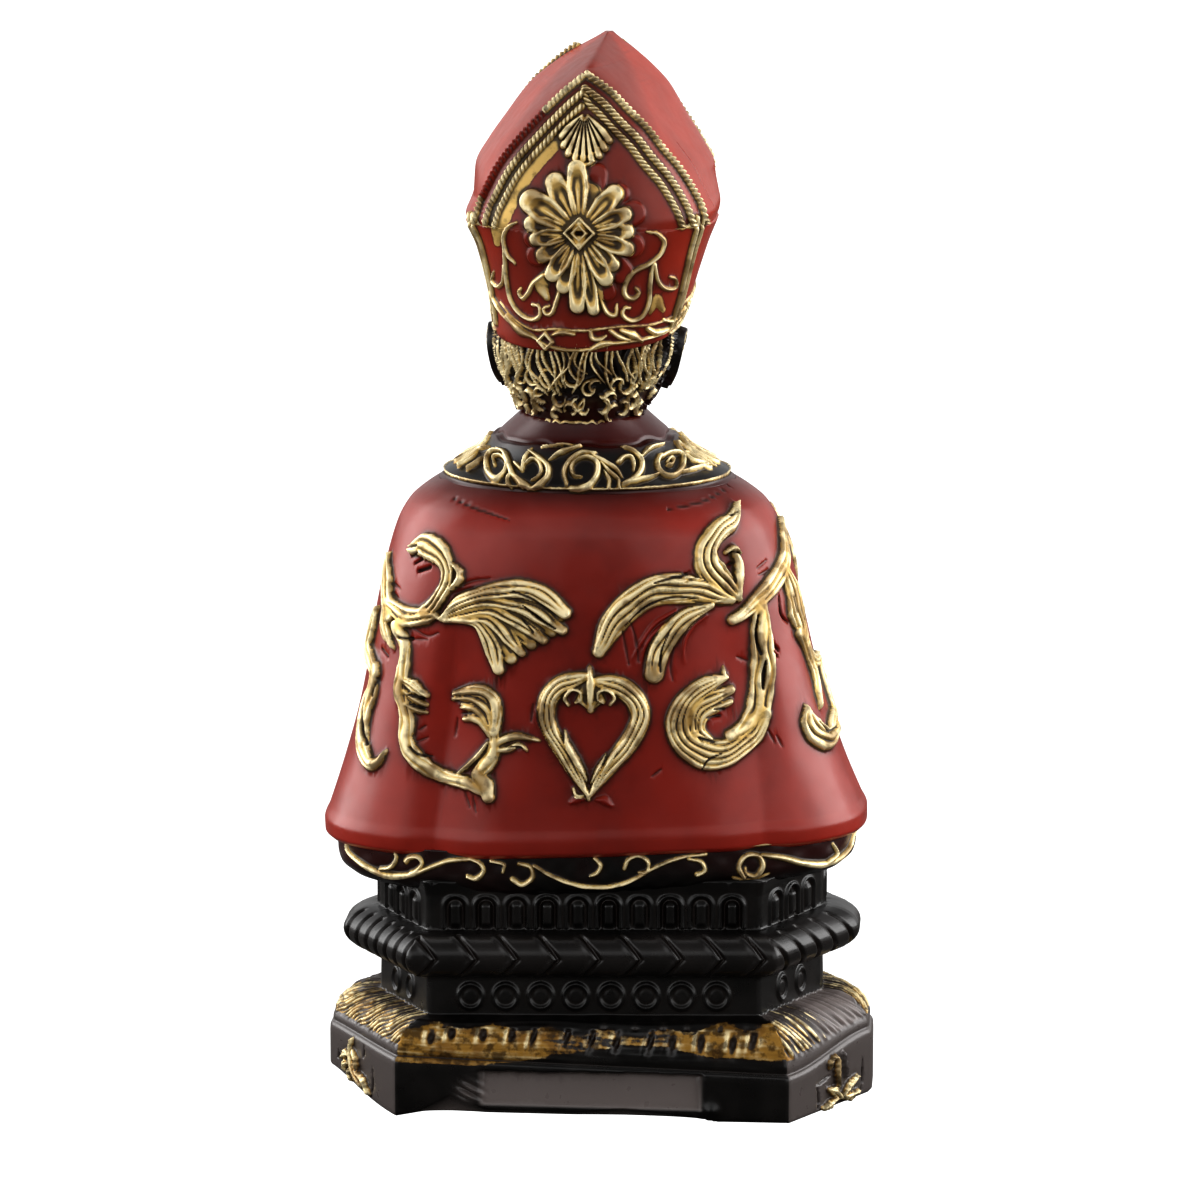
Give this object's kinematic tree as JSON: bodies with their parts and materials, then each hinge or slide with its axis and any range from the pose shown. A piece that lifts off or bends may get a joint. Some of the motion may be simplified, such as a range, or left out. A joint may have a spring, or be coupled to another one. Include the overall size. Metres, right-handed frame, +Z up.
{
  "type": "resin bust",
  "caption": "Small painted resin bust of a mitred bishop in an embroidered mantle, cast in one piece with its moulded six-sided plinth.",
  "frame": {"origin": "middle of the underside, on the surface the bust stands on", "axes": "+Z up, the figure looks along -Y, its left hand is towards +X"},
  "size_m": [0.0681, 0.0372, 0.13],
  "materials": {
    "painted_resin": "satin dark red paint over cast resin, with pale gold on the raised carving and black on the plinth, bands and hair"
  },
  "bodies": {
    "root": {"bust": "painted_resin"}
  },
  "joints": []
}
